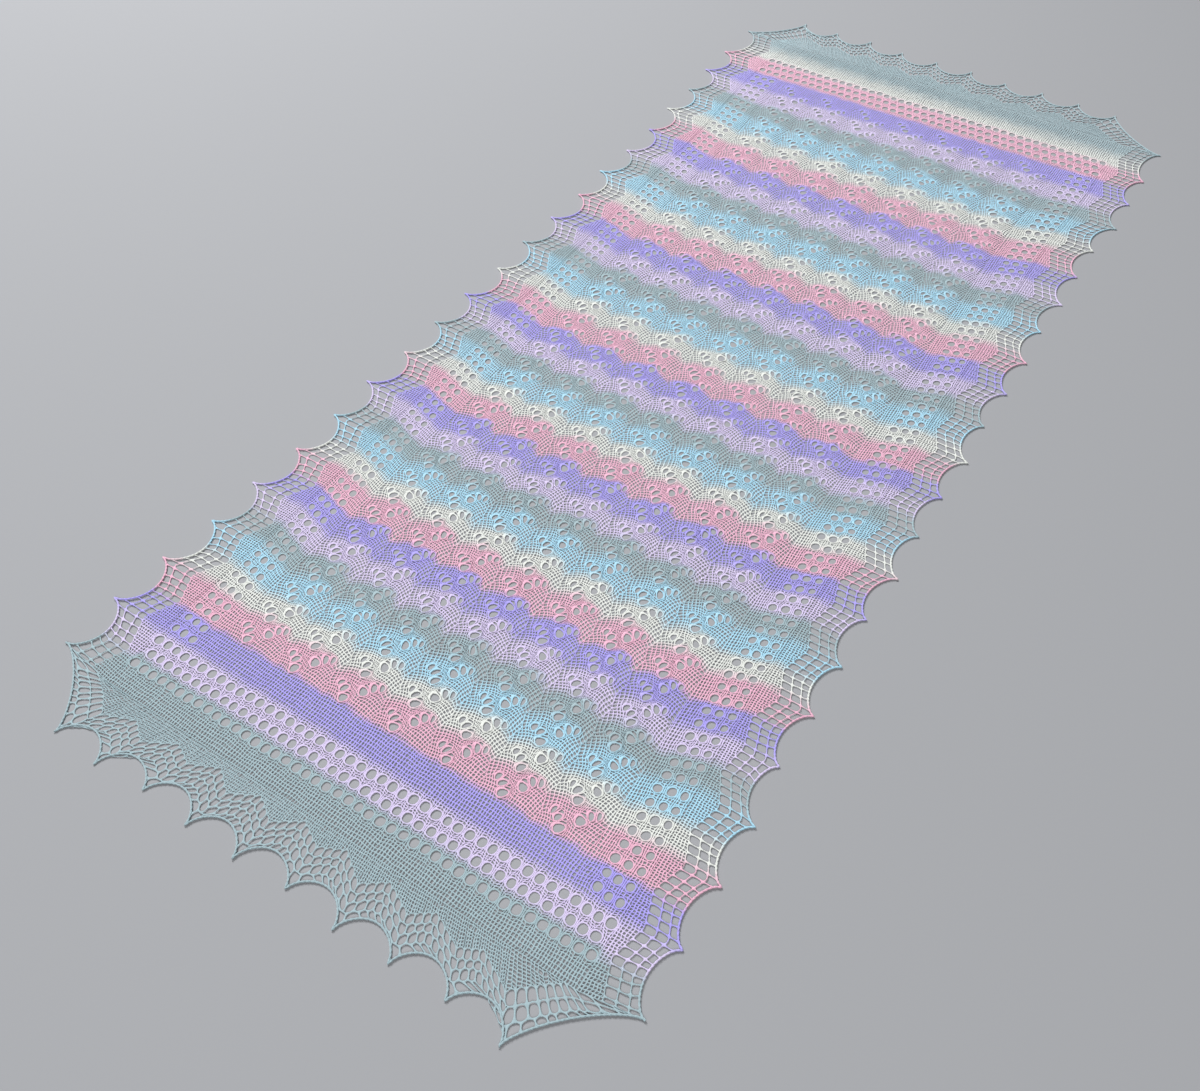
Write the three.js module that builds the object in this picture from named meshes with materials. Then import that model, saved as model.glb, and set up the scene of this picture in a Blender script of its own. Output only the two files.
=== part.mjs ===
// A knitted lace stole laid flat: a lace centre, eyelet borders and a scalloped mesh edging all round.
// Millimetres, +Z up. X runs across the stole, +Y along it, and its underside rests on z = 0.
import * as THREE from "three";

// Cloth
const CLOTH = 1.2; // thickness of the knitted wall
const SEAM = 0.3; // gap between neighbouring sections

// Points of the scalloped edge; y is counted from the first corner points
const SIDE_TEETH = 22; // scallops along each long side
const SIDE_PITCH = 69.3; // point to point along a long side
const LAST_CORNER_Y = 1540; // the last scallop before the far corner is a longer one
const SIDE_TIP_X = 361; // half the width between the side points, at the ends
const END_TEETH = 9; // scallops along each short end
const END_PITCH = 61.6;
const END_TIPS_X = -9; // middle of the row of end points
const NEAR_TIP_Y = -82;
const FAR_TIP_Y = LAST_CORNER_Y + 78;
const LEFT_DEPTH = 27; // how far a scallop dips between its points
const RIGHT_DEPTH = 18;
const END_DEPTH = 26;
const CORNER_DEPTH = 13;
const SCALLOP_POWER = 0.55; // below 1 makes narrow points and a wide round dip
const SCALLOP_STEPS = [0, 0.1, 0.24, 0.4, 0.6, 0.76, 0.9]; // along a scallop, with an eyelet in the middle
const UNEVEN = 3.5; // how far blocked points stray from their line

// Body, inside the edging
const BODY_X = 6; // middle of the body
const ROW = 4.228; // height of one knitted row
const BODY_START_Y = -10;
const BODY_ROWS = 366;
const NEAR_BORDER_ROWS = 18;
const FAR_BORDER_START_ROW = 339;
const FIELD_REPEAT = 66.9; // width of one lace repeat
const FIELD_REPEATS = 7;
const FIELD_ROWS = 8; // rows in one lace repeat
const SIDE_BORDER = 57.6; // from the lace field to the edging
const FIRST_SECTION_TIP = 2; // side points at whose heights the centre and side borders have grid lines
const LAST_SECTION_TIP = 20;

// Width along the stole, as a share of the width at its ends, from side point to side point
const WAIST = [
  { from: 1, to: 5, start: 1, end: 0.966 },
  { from: 17, to: 20, start: 0.966, end: 1 },
];

// Eyelets that are cut through, the largest of each repeat
const EYELET_SIDES = 6;
const FIELD_EYELET = 4.7; // radius
const FIELD_EYELET_X = 6.2; // beside the spine of its repeat
const FIELD_EYELET_LEFT_ROW = 27.5; // first eyelet left of a spine
const FIELD_EYELET_RIGHT_ROW = 31.5; // first eyelet right of a spine
const BORDER_EYELET = 4.5;
const COLUMN_EYELET_X = 35.2; // middle column of eyelets, from the edge of the lace field
const COLUMN_EYELET_ROW = 20.5; // first eyelet of that column
const COLUMN_ROWS = 4; // rows from one eyelet of a column to the next
const EYELET_ROW_PITCH = 26.4; // every second eyelet of the middle row is cut
const NEAR_EYELET_ROW = 11.5;
const FAR_EYELET_ROW = 346.5;
const EDGING_EYELET = 4.7;
const EDGING_EYELET_IN = 0.64; // share of the way from a scallop's dip to the seam
const END_SEAM_SHRINK = 0.85; // the end edging is eased in towards its seam
const CORNER_TURN = 0.76; // share of a corner scallop that faces the body, before its mitre
const MITRE_REACH = 0.8; // share of the mitre that its inner points cover

const BODY_END_Y = BODY_START_Y + BODY_ROWS * ROW;
const NEAR_SEAM_Y = BODY_START_Y + NEAR_BORDER_ROWS * ROW;
const FAR_SEAM_Y = BODY_START_Y + FAR_BORDER_START_ROW * ROW;
const FIELD_HALF = (FIELD_REPEAT * FIELD_REPEATS) / 2;
const BODY_HALF = FIELD_HALF + SIDE_BORDER;

const COLOURS = {
  centre: 0xb9c4de,
  sideBorder: 0xc9bfdc,
  nearBorder: 0xd8c8dc,
  farBorder: 0xe0bcc8,
  sideEdging: 0xb4c6d6,
  endEdging: 0xa9bcc0,
};

const lerp = THREE.MathUtils.lerp;
const smoothstep = THREE.MathUtils.smoothstep;
const point = (x, y) => new THREE.Vector2(x, y);

// Height of a side point, by its number from the near corner
function sideTipY(k) {
  return k < SIDE_TEETH ? k * SIDE_PITCH : LAST_CORNER_Y;
}

// Share of the full width at a side point
function waistAtTip(k) {
  const [narrowing, widening] = WAIST;
  const { from, to, start, end } = k < (narrowing.to + widening.from) / 2 ? narrowing : widening;
  return lerp(start, end, smoothstep(k, from, to));
}

// Share of the full width at any height, straight from one side point to the next
function waist(y) {
  const k = THREE.MathUtils.clamp(Math.floor(y / SIDE_PITCH), 0, SIDE_TEETH - 1);
  const t = (y - sideTipY(k)) / (sideTipY(k + 1) - sideTipY(k));
  return lerp(waistAtTip(k), waistAtTip(k + 1), THREE.MathUtils.clamp(t, 0, 1));
}

// Small wander of a blocked point from its line
function uneven(k, side) {
  return UNEVEN * Math.sin(2.3 * k + 1.7 * side);
}

// x on a line that keeps its share of the body's width
function bodyX(x, y) {
  return BODY_X + x * waist(y);
}

// Triangles between a cell's corners and its eyelet's rim, both anticlockwise
function ringFaces(corners, rim, centre) {
  const angles = (loop) => {
    const list = loop.map((v) => Math.atan2(v.at.y - centre.y, v.at.x - centre.x));
    for (let i = 1; i < list.length; i++) {
      while (list[i] < list[i - 1]) list[i] += 2 * Math.PI;
    }
    return [...list, list[0] + 2 * Math.PI];
  };
  const turned = (loop, by) => loop.map((_, i) => loop[(i + by) % loop.length]);
  const apart = (v) => {
    const a = point(v.at.x - centre.x, v.at.y - centre.y).normalize();
    const b = point(corners[0].at.x - centre.x, corners[0].at.y - centre.y).normalize();
    return a.distanceTo(b);
  };
  const nearest = rim.indexOf(rim.reduce((best, v) => (apart(v) < apart(best) ? v : best)));
  const inner = turned(rim, nearest);
  const outerAngle = angles(corners);
  const innerAngle = angles(inner);
  const offset = 2 * Math.PI * Math.round((outerAngle[0] - innerAngle[0]) / (2 * Math.PI));
  const faces = [];
  let i = 0;
  let j = 0;
  while (i < corners.length || j < inner.length) {
    const outerNext = i < corners.length ? outerAngle[i + 1] : Infinity;
    const innerNext = j < inner.length ? innerAngle[j + 1] + offset : Infinity;
    const c = corners[i % corners.length];
    const r = inner[j % inner.length];
    if (outerNext < innerNext) {
      faces.push([c, corners[(i + 1) % corners.length], r]);
      i++;
    } else {
      faces.push([c, inner[(j + 1) % inner.length], r]);
      j++;
    }
  }
  return faces;
}

// A flat wall over a grid of cells. place(i, j) gives the grid's points, anticlockwise from i to j,
// and eyelet(i, j) gives the centre and radius of the eyelet that is cut through a cell, or nothing.
function knittedWall(name, colour, columns, rows, place, eyelet) {
  const points = [];
  const flatFaces = [];
  const rims = [];
  const addPoint = (at) => points[points.push({ at, index: points.length }) - 1];
  const grid = Array.from({ length: columns + 1 }, (_, i) =>
    Array.from({ length: rows + 1 }, (_, j) => addPoint(place(i, j))),
  );
  for (let i = 0; i < columns; i++) {
    for (let j = 0; j < rows; j++) {
      const corners = [grid[i][j], grid[i + 1][j], grid[i + 1][j + 1], grid[i][j + 1]];
      const cut = eyelet(i, j);
      if (!cut) {
        const [a, b, c, d] = corners;
        const acrossAC = a.at.distanceTo(c.at) < b.at.distanceTo(d.at);
        flatFaces.push(...(acrossAC ? [[a, b, c], [a, c, d]] : [[a, b, d], [b, c, d]]));
        continue;
      }
      const rim = Array.from({ length: EYELET_SIDES }, (_, n) => {
        const angle = cut.turn + (2 * Math.PI * n) / EYELET_SIDES;
        return addPoint(point(cut.x + cut.radius * Math.cos(angle), cut.y + cut.radius * Math.sin(angle)));
      });
      flatFaces.push(...ringFaces(corners, rim, cut));
      rims.push([...rim].reverse());
    }
  }
  const outline = [
    ...grid.slice(0, columns).map((line) => line[0]),
    ...grid[columns].slice(0, rows),
    ...grid.slice(1).reverse().map((line) => line[rows]),
    ...grid[0].slice(1).reverse(),
  ];
  const lift = points.length;
  const faces = [];
  for (const [a, b, c] of flatFaces) {
    faces.push(a.index + lift, b.index + lift, c.index + lift);
    faces.push(a.index, c.index, b.index);
  }
  for (const loop of [outline, ...rims]) {
    loop.forEach((a, n) => {
      const b = loop[(n + 1) % loop.length];
      faces.push(a.index, b.index, b.index + lift);
      faces.push(a.index, b.index + lift, a.index + lift);
    });
  }
  const heights = [0, CLOTH];
  const vertices = heights.flatMap((z) => points.flatMap((p) => [p.at.x, p.at.y, z]));
  const geometry = new THREE.BufferGeometry();
  geometry.setAttribute("position", new THREE.Float32BufferAttribute(vertices, 3));
  geometry.setIndex(faces);
  geometry.computeVertexNormals();
  const yarn = new THREE.MeshStandardMaterial({ color: colour, roughness: 0.9, metalness: 0 });
  const mesh = new THREE.Mesh(geometry, yarn);
  mesh.name = name;
  return mesh;
}

// Heights of the grid lines of the centre and its side borders
const sectionHeights = [NEAR_SEAM_Y + SEAM / 2];
for (let k = FIRST_SECTION_TIP; k <= LAST_SECTION_TIP; k++) sectionHeights.push(sideTipY(k));
sectionHeights.push(FAR_SEAM_Y - SEAM / 2);
const lastPlainCell = sectionHeights.length - 2;

// Height of the eyelet nearest the middle of a cell, in a pattern that repeats upwards from its first row
function repeatNear(cell, firstRow, rows) {
  const middle = (sectionHeights[cell] + sectionHeights[cell + 1]) / 2;
  const first = BODY_START_Y + firstRow * ROW;
  const pitch = rows * ROW;
  return first + pitch * Math.max(0, Math.round((middle - first) / pitch));
}

function centreSection() {
  const place = (i, j) => {
    const inset = i === 0 ? SEAM / 2 : i === FIELD_REPEATS ? -SEAM / 2 : 0;
    const y = sectionHeights[j];
    return point(bodyX(i * FIELD_REPEAT - FIELD_HALF, y) + inset, y);
  };
  const eyelet = (i, j) => {
    if (j === lastPlainCell) return null;
    const left = i % 2 === 0;
    const y = repeatNear(j, left ? FIELD_EYELET_LEFT_ROW : FIELD_EYELET_RIGHT_ROW, FIELD_ROWS);
    const spine = (i + 0.5) * FIELD_REPEAT - FIELD_HALF;
    const x = bodyX(spine + (left ? -FIELD_EYELET_X : FIELD_EYELET_X), y);
    return { x, y, radius: FIELD_EYELET, turn: left ? Math.PI / 12 : -Math.PI / 12 };
  };
  return knittedWall("centre", COLOURS.centre, FIELD_REPEATS, sectionHeights.length - 1, place, eyelet);
}

// side is -1 on the left and 1 on the right
function sideBorder(name, side) {
  const place = (i, j) => {
    const outer = side < 0 ? i === 0 : i === 1;
    const y = sectionHeights[j];
    const x = side * (outer ? BODY_HALF : FIELD_HALF);
    return point(bodyX(x, y) + (i === 0 ? SEAM / 2 : -SEAM / 2), y);
  };
  const eyelet = (i, j) => {
    if (j === lastPlainCell) return null;
    const y = repeatNear(j, COLUMN_EYELET_ROW, COLUMN_ROWS);
    return { x: bodyX(side * (FIELD_HALF + COLUMN_EYELET_X), y), y, radius: BORDER_EYELET, turn: 0 };
  };
  return knittedWall(name, COLOURS.sideBorder, 1, sectionHeights.length - 1, place, eyelet);
}

function endBorder(name, colour, fromY, toY, eyeletRow) {
  const cells = Math.round((2 * BODY_HALF) / EYELET_ROW_PITCH);
  const y = BODY_START_Y + eyeletRow * ROW;
  const place = (i, j) => {
    const inset = i === 0 ? SEAM / 2 : i === cells ? -SEAM / 2 : 0;
    const height = j === 0 ? fromY + SEAM / 2 : toY - SEAM / 2;
    return point(bodyX(lerp(-BODY_HALF, BODY_HALF, i / cells), height) + inset, height);
  };
  const eyelet = (i) => {
    const x = bodyX(lerp(-BODY_HALF, BODY_HALF, (i + 0.5) / cells), y);
    return { x, y, radius: BORDER_EYELET, turn: Math.PI / 6 };
  };
  return knittedWall(name, colour, cells, 1, place, eyelet);
}

// Inner edge of a scallop beside a corner: along the body to its corner, then out along the mitre
function cornerSeam(free, corner, t) {
  if (t < CORNER_TURN) return free.seam.clone().lerp(corner.seam, t / CORNER_TURN);
  return corner.seam.clone().lerp(corner.tip, (MITRE_REACH * (t - CORNER_TURN)) / (1 - CORNER_TURN));
}

// An edging runs clockwise round the body over a list of { tip, seam, corner }: an outer point, the place on
// the seam that faces it, and whether it is a corner of the stole, beside which the scallops are shallower.
function edging(name, colour, depth, stops) {
  const stepsEach = SCALLOP_STEPS.length;
  const steps = (stops.length - 1) * stepsEach;
  const at = (n, t) => {
    const [a, b] = [stops[n], stops[n + 1]];
    const along = b.tip.clone().sub(a.tip);
    const inward = point(along.y, -along.x).normalize();
    const deepest = a.corner || b.corner ? CORNER_DEPTH : depth;
    const dip = t < 1 ? deepest * Math.sin(Math.PI * t) ** SCALLOP_POWER : 0;
    const outer = a.tip.clone().lerp(b.tip, t).addScaledVector(inward, dip);
    if (a.corner) return { outer, seam: cornerSeam(b, a, 1 - t) };
    if (b.corner) return { outer, seam: cornerSeam(a, b, t) };
    return { outer, seam: a.seam.clone().lerp(b.seam, t) };
  };
  const place = (i, j) => {
    const inside = i < steps;
    const scallop = inside ? Math.floor(i / stepsEach) : stops.length - 2;
    const here = at(scallop, inside ? SCALLOP_STEPS[i % stepsEach] : 1);
    return j === 0 ? here.seam : here.outer;
  };
  const eyelet = (i) => {
    if (i % stepsEach !== (stepsEach - 1) / 2) return null;
    const { outer, seam } = at(Math.floor(i / stepsEach), 0.5);
    const centre = outer.clone().lerp(seam, EDGING_EYELET_IN);
    return { x: centre.x, y: centre.y, radius: EDGING_EYELET, turn: seam.clone().sub(outer).angle() };
  };
  return knittedWall(name, colour, steps, 1, place, eyelet);
}

// side is -1 on the left, which runs towards the far end, and 1 on the right, which runs back
function sideEdging(name, side, depth) {
  const stops = [];
  for (let k = 0; k <= SIDE_TEETH; k++) {
    const atCorner = k === 0 || k === SIDE_TEETH;
    const parting = k === 0 ? SEAM / 2 : k === SIDE_TEETH ? -SEAM / 2 : 0;
    const tipX = side * (SIDE_TIP_X * waistAtTip(k) + (atCorner ? 0 : uneven(k, side)));
    const tipY = sideTipY(k) + parting;
    const seamY = k === 0 ? BODY_START_Y + parting : k === SIDE_TEETH ? BODY_END_Y + parting : tipY;
    const seamX = bodyX(side * BODY_HALF, seamY) + (side * SEAM) / 2;
    stops.push({ tip: point(tipX, tipY), seam: point(seamX, seamY), corner: false });
  }
  if (side > 0) stops.reverse();
  return edging(name, COLOURS.sideEdging, depth, stops);
}

// end is -1 at the near end, which runs from right to left, and 1 at the far end, which runs back
function endEdging(name, end) {
  const seamY = (end < 0 ? BODY_START_Y : BODY_END_Y) + (end * SEAM) / 2;
  const cornerY = (end < 0 ? 0 : LAST_CORNER_Y) + (end * SEAM) / 2;
  const cornerStop = (side) => ({
    tip: point(side * SIDE_TIP_X, cornerY),
    seam: point(BODY_X + side * BODY_HALF, seamY),
    corner: true,
  });
  const stops = [cornerStop(-1)];
  for (let k = 0; k <= END_TEETH; k++) {
    const x = END_TIPS_X + (k - END_TEETH / 2) * END_PITCH;
    const y = (end < 0 ? NEAR_TIP_Y : FAR_TIP_Y) + uneven(k, 2 * end);
    stops.push({ tip: point(x, y), seam: point(x * END_SEAM_SHRINK, seamY), corner: false });
  }
  stops.push(cornerStop(1));
  if (end < 0) stops.reverse();
  return edging(name, COLOURS.endEdging, END_DEPTH, stops);
}

const stole = new THREE.Group();
stole.add(
  centreSection(),
  sideBorder("side_border_left", -1),
  sideBorder("side_border_right", 1),
  endBorder("end_border_near", COLOURS.nearBorder, BODY_START_Y, NEAR_SEAM_Y, NEAR_EYELET_ROW),
  endBorder("end_border_far", COLOURS.farBorder, FAR_SEAM_Y, BODY_END_Y, FAR_EYELET_ROW),
  sideEdging("edging_left", -1, LEFT_DEPTH),
  sideEdging("edging_right", 1, RIGHT_DEPTH),
  endEdging("edging_near", -1),
  endEdging("edging_far", 1),
);

// The stole's own frame starts at the middle of its underside
const middle = new THREE.Box3().setFromObject(stole).getCenter(new THREE.Vector3());
stole.position.set(-middle.x, -middle.y, 0);

export default stole;
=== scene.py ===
"""A knitted lace stole laid flat: net, edgings and edge cord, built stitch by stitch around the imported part.

Lengths of the stole are in millimetres as it was knitted and blocked, and to_part() turns them into metres
in the part's frame. Rows are counted from the near end, and wales, the columns of stitches, from the left.
The finishes and the studio are in metres.
"""
import math

import bpy
import numpy as np
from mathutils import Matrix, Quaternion, Vector


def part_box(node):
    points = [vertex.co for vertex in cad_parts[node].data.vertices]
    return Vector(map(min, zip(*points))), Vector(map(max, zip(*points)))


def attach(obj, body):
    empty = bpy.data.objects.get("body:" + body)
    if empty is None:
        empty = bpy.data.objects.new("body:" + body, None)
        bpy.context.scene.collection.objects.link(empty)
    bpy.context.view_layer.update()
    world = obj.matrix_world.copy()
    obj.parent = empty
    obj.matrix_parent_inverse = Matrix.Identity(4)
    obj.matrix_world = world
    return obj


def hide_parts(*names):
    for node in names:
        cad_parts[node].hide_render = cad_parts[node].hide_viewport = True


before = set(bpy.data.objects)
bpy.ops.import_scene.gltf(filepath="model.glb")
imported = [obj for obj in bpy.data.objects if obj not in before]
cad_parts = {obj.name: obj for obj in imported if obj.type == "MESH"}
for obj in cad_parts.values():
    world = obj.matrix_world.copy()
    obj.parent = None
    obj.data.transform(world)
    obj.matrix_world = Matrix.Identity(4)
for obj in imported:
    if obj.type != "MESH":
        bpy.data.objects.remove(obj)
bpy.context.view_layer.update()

MM = 0.001
rng = np.random.default_rng(11)

# Stitches and rows of the body
REPEAT_STITCHES = 20
FIELD_REPEATS = 7
SIDE_STITCHES = 18
FIELD_LEFT = SIDE_STITCHES  # wales on either side of the lace field
FIELD_RIGHT = FIELD_LEFT + REPEAT_STITCHES * FIELD_REPEATS
STITCHES = FIELD_RIGHT + SIDE_STITCHES
SPINES = range(FIELD_LEFT + REPEAT_STITCHES // 2, FIELD_RIGHT, REPEAT_STITCHES)
ROWS = 366
NEAR_BORDER_ROWS = 18
FAR_BORDER_START_ROW = 339
CENTRE_PARTS = 3  # pieces that the centre's net is made in
FIELD_START_ROW = 27
FIELD_END_ROW = 335
FIELD_REPEAT_ROWS = 8
GROUP_ROWS = 4  # rows for the yarn-overs left of the spines, then as many for those right of them

# Sizes of the body
FIELD_REPEAT = 66.9
FIELD_HALF = FIELD_REPEAT * FIELD_REPEATS / 2
SIDE_BORDER = 57.6
BODY_HALF = FIELD_HALF + SIDE_BORDER
BODY_X = 6.0  # middle of the body
BODY_START_Y = -10.0
SEAM = 0.3  # gap between the solids

# Points of the scalloped edge, as in the solids
SIDE_SCALLOPS = 22
SIDE_PITCH = 69.3
LAST_CORNER_Y = 1540.0
SIDE_TIP_X = 361.0
END_SCALLOPS = 9
END_PITCH = 61.6
END_TIPS_X = -9.0
NEAR_TIP_Y = -82.0
FAR_TIP_Y = LAST_CORNER_Y + 78.0
LEFT_DEPTH = 27.0
RIGHT_DEPTH = 18.0
END_DEPTH = 26.0
CORNER_DEPTH = 13.0
SCALLOP_POWER = 0.55
UNEVEN = 3.5  # how far the points stray from their line
UNEVEN_STEPS = (2.3, 1.7)  # of the wave that they stray by, from point to point and from side to side
END_SEAM_SHRINK = 0.85  # places on an end's seam, as a share of their points' distance from the middle
CORNER_TURN = 0.76  # share of a corner's scallop after which its seam turns into the mitre
MITRE_REACH = 0.8  # how far the mitre goes towards the corner point

# Scallops over which the sides draw in and spread again, with the share of the width before and after
WAIST = [
    {"from": 1, "to": 5, "start": 1.0, "end": 0.966},
    {"from": 17, "to": 20, "start": 0.966, "end": 1.0},
]

# How blocking bends the rows: down where leaning stitches meet, up towards the side edgings
VALLEY = 9.0
VALLEY_POWER = 1.4
OUTER_RISE = 9.0
BEND_IN = (20, 55)  # rows over which the bend sets in
BEND_OUT = (300, 337)  # rows over which it fades out
SPINE_DRAW_IN = 0.36  # share of its width that a stitch on a spine loses to those between

# Openings. A yarn-over of the field has its row in a group, its stitches from the spine, and the radii of
# its eyelet and of the small one above it.
YARN_OVERS = [
    {"row": 0, "stitch": 2, "radius": 8.4, "above": 3.4},
    {"row": 2, "stitch": 4, "radius": 7.4, "above": 2.8},
    {"row": 3, "stitch": 6, "radius": 5.8, "above": 0.0},
]
BAND_EYELET = 6.9
BAND_PITCH = 4  # stitches
NEAR_BAND_ROWS = (7, 11, 15)
FAR_BAND_ROWS = (342, 346, 350)
COLUMN_STITCHES = (7, 11, 15)  # from the edge of the lace field
COLUMN_EYELETS = (6.1, 6.1, 5.2)
COLUMN_FIRST_ROW = 20
COLUMN_PITCH = 4  # rows
SMALL_EYELET = 2.0
COLUMN_SMALL_EYELET = 1.6
EYELET_UNEVEN = (0.9, 1.08)  # least and most share of its radius that an eyelet has
OPENING_REACH = 8.5  # how far an eyelet spreads its neighbours
OPENING_WINDOW = 2.5 * OPENING_REACH  # beyond this it moves nothing
OPENING_PASSES = 4

# Yarn
WALE_YARN = 0.72  # half the width of a wale's yarn
ROW_YARN = 0.36
EYELET_YARN = 0.4
CORD_RADIUS = 1.0
WANDER = 0.55  # how far the stitches stray together
STRAY = 0.27  # how far each strays
YARN_UNEVEN = (0.86, 1.16)  # least and most share of its width that a stitch's yarn has
RIDGE = 1.5  # height of the yarn's ridge above the surface that the stole lies on
# Heights at the rims of the openings
RIMS = {"stitch": 0.85, "eyelet": 0.7, "side mesh": 0.85, "end mesh": 0.95}
LIP_HEIGHT = 0.5
LIP = 0.35  # how far the yarn on a net's border reaches past it

# Strands of the edging's mesh from the outside, as depths below the line of the points. The round ones curve
# from point to point, and the others run straight to the middle and back.
ROUND_STRAND_POWER = 1.2
EDGING_STRANDS = {
    "left": [
        {"at_point": 20.8, "midway": 38.1, "round": True},
        {"at_point": 38.1, "midway": 51.3, "round": False},
        {"at_point": 47.8, "midway": 64.4, "round": False},
    ],
    "right": [
        {"at_point": 15.6, "midway": 27.7, "round": True},
        {"at_point": 27.7, "midway": 40.2, "round": False},
        {"at_point": 40.2, "midway": 52.0, "round": False},
    ],
    "end": [
        {"at_point": 17.5, "midway": 34.0, "round": True},
        {"at_point": 27.5, "midway": 44.2, "round": True},
        {"at_point": 37.5, "midway": 54.3, "round": False},
        {"at_point": 47.8, "midway": 64.4, "round": False},
    ],
}
MESH_PITCH = 8.6  # along the edging
CORNER_PITCH = 11.0  # the same in a corner of an end edging
CORNER_NARROWING = 0.82  # share of the mesh's depth that is left there
BAR_STEPS = 6  # points from one bar of the mesh to the next
PLAIN_STEPS = 2  # points from one wale of the edging's plain part to the next
CORNER_STEPS = 3  # the same in a corner
CORNER_STRAND = 2  # in the corners this strand is one with the strand outside it
PLAIN_STITCH = 3.4
LEAST_PLAIN = 2.5  # least width of the edging's plain part
LEAST_CELL = 2.0  # least depth of the mesh's outer row
MESH_ZIGZAG = 0.8  # how far staggered bars draw the strands between them
SPLAY = 0.05  # share of a scallop by which its bars lean
STRAND_SPLAY = (0.5, 0.2, 0.05, 0)  # how much of the lean reaches each strand
STRAND_STRAY = 0.25
BAR_STRAY = 0.35
PLAIN_STRAY = 0.2
MEAN_DEPTH = 0.9  # mean depth of an edging as a share of its depth half-way between points

# Small uneven openings by an end edging's seam
PICK_UP_EYELETS = {
    "pitch": 8.0,
    "radius": (1.0, 2.3),
    "stray": 2.0,
    "depth": 4.0,
    "depth_shares": (0.4, 1.6),
}

# Yarn dyes in their order, as places in one turn that starts and ends in the middle of a pink stripe
DYES = {
    "pink": {"from": -0.07, "to": 0.07, "colour": (0.84, 0.47, 0.61)},
    "off-white": {"from": 0.13, "to": 0.21, "colour": (0.78, 0.80, 0.76)},
    "light blue": {"from": 0.28, "to": 0.39, "colour": (0.41, 0.70, 0.86)},
    "grey-teal": {"from": 0.46, "to": 0.55, "colour": (0.37, 0.49, 0.53)},
    "pale lilac": {"from": 0.61, "to": 0.71, "colour": (0.69, 0.60, 0.85)},
    "violet": {"from": 0.77, "to": 0.89, "colour": (0.42, 0.37, 0.87)},
}
OFF_WHITE, GREY_TEAL = DYES["off-white"], DYES["grey-teal"]
PINK_ROWS = (30.7, 79.4, 126.9, 172.8, 226.9, 284.3, 344.9)  # in the middle of each pink stripe
EDGING_DYE = -0.5  # the end edgings' grey-teal
NEAR_DYE_ROW = 6  # up to here the body has the near edging's dye
FAR_WHITE_ROW = 352  # off-white begins beyond the last band
FAR_FADE_ROWS = (353, 363)  # over these it fades into the grey-teal of the far edging

# Places

body_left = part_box("side_border_left")[0].x - SEAM / 2 * MM
body_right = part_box("side_border_right")[1].x + SEAM / 2 * MM
body_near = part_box("end_border_near")[0].y - SEAM / 2 * MM
body_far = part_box("end_border_far")[1].y + SEAM / 2 * MM
SHIFT_X = (body_left + body_right) / 2 - BODY_X * MM
SHIFT_Y = body_near - BODY_START_Y * MM
ROW = (body_far - body_near) / MM / ROWS
BODY_END_Y = BODY_START_Y + ROWS * ROW


def smoothstep(x, low, high):
    t = np.clip((x - low) / (high - low), 0, 1)
    return t * t * (3 - 2 * t)


def to_part(x, y, z):
    """Millimetres from the first corner points to metres in the part's frame."""
    return np.stack([x * MM + SHIFT_X, y * MM + SHIFT_Y, z * MM + 0 * x], 1)


def side_tip_y(k):
    return k * SIDE_PITCH if k < SIDE_SCALLOPS else LAST_CORNER_Y


def waist_at_tip(k):
    narrowing, widening = WAIST
    part = narrowing if k < (narrowing["to"] + widening["from"]) / 2 else widening
    share = smoothstep(k, part["from"], part["to"])
    return part["start"] + (part["end"] - part["start"]) * share


TIP_HEIGHTS = [side_tip_y(k) for k in range(SIDE_SCALLOPS + 1)]
TIP_WAISTS = [waist_at_tip(k) for k in range(SIDE_SCALLOPS + 1)]


def body_x(x, y):
    """x on a line that keeps its share of the body's width."""
    return BODY_X + x * np.interp(y, TIP_HEIGHTS, TIP_WAISTS)


def uneven(k, side):
    return UNEVEN * math.sin(UNEVEN_STEPS[0] * k + UNEVEN_STEPS[1] * side)


def bend_share(row):
    return smoothstep(row, *BEND_IN) * (1 - smoothstep(row, *BEND_OUT))


def row_lift(x, row):
    """How far blocking moves a row up or down at a place across the body."""
    across = np.abs(x / FIELD_REPEAT)
    from_spine = 2 * np.abs(across - np.round(across))
    field = -VALLEY * from_spine**VALLEY_POWER
    outwards = np.clip((np.abs(x) - FIELD_HALF) / SIDE_BORDER, 0, 1)
    border = -VALLEY + (VALLEY + OUTER_RISE) * outwards
    return bend_share(row) * np.where(np.abs(x) < FIELD_HALF, field, border)


def dye_at(row):
    """Place of a row in the order of dyes: a whole number in the middle of a pink stripe."""
    rows = [NEAR_DYE_ROW, *PINK_ROWS, FAR_WHITE_ROW, ROWS]
    last = len(PINK_ROWS) - 1
    dyes = [EDGING_DYE, *range(len(PINK_ROWS)), last + OFF_WHITE["from"], last + OFF_WHITE["to"]]
    return np.interp(row, rows, dyes)


# Net


class Net:
    """Points on the ridges of the yarn and the loops of them round each opening."""

    def __init__(self):
        self.x, self.y, self.dye = [], [], []
        self.loops = {}

    def point(self, x, y, dye):
        self.x.append(x)
        self.y.append(y)
        self.dye.append(dye)
        return len(self.x) - 1

    def opening(self, piece, kind, loop):
        """Keeps an opening of a piece, as the points round it anticlockwise."""
        around = [p for n, p in enumerate(loop) if p != loop[n - 1]]
        if len(around) > 2:
            self.loops.setdefault((piece, kind), []).append(around)

    def kinds_in(self, piece):
        return {kind: loops for (owner, kind), loops in self.loops.items() if owner == piece}

    def settle(self):
        """Ends the adding of points."""
        self.x, self.y, self.dye = (np.array(v, float) for v in (self.x, self.y, self.dye))


def edge_pairs(loops):
    """Each strand between two points once."""
    pairs = {(min(a, b), max(a, b)) for loop in loops for a, b in zip(loop, loop[1:] + loop[:1])}
    return np.array(sorted(pairs))


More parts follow.
